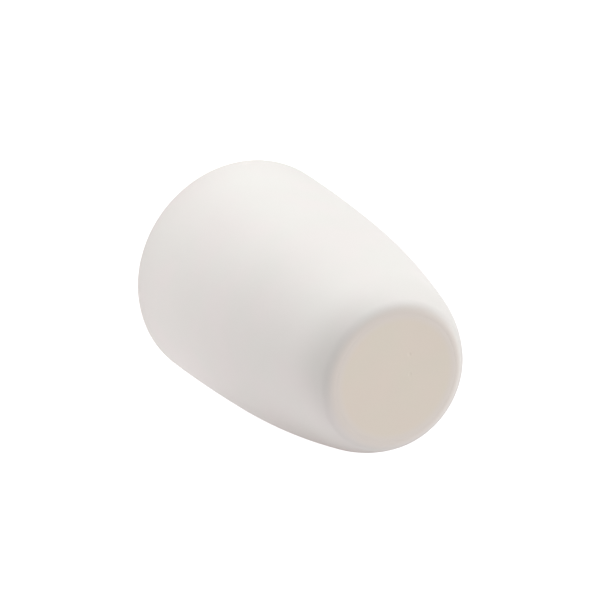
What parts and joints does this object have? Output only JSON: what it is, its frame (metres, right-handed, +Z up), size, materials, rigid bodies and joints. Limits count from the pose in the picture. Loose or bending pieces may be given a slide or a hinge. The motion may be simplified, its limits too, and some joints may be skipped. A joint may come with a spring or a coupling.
{
  "type": "slip casting mould",
  "caption": "Seamless plaster slip-casting mould for a tapered tumbler, standing mouth down, with a lift-out foot plug and a keyed spare ring let into the mouth.",
  "frame": {"origin": "centre of the mouth face, the flat face the mould stands on", "axes": "+Z up along the axis of revolution, from the mouth to the foot; +X and +Y level, +Y through the first foot natch"},
  "size_m": [0.1329, 0.133, 0.18],
  "materials": {
    "plaster_white": "satin-matt white potter's plaster, sealed",
    "plaster_cream": "matt cream potter's plaster, a second batch, unsealed",
    "brass": "turned brass, slightly dulled"
  },
  "bodies": {
    "spare": {"spare_ring": "plaster_white", "mouth_natch_pin_1": "brass", "mouth_natch_pin_2": "brass", "mouth_natch_pin_3": "brass"},
    "shell": {"mould_shell": "plaster_white", "foot_natch_cup_1": "brass", "foot_natch_cup_2": "brass", "foot_natch_cup_3": "brass", "mouth_natch_cup_1": "brass", "mouth_natch_cup_2": "brass", "mouth_natch_cup_3": "brass"},
    "plug": {"foot_plug": "plaster_cream", "foot_natch_pin_1": "brass", "foot_natch_pin_2": "brass", "foot_natch_pin_3": "brass"}
  },
  "joints": [
    {"name": "shell_lift", "type": "slide", "parent": "spare", "child": "shell", "axis": [0, 0, 1], "range_m": [0, 0.19]},
    {"name": "plug_lift", "type": "slide", "parent": "shell", "child": "plug", "axis": [0, 0, 1], "range_m": [0, 0.06]}
  ]
}
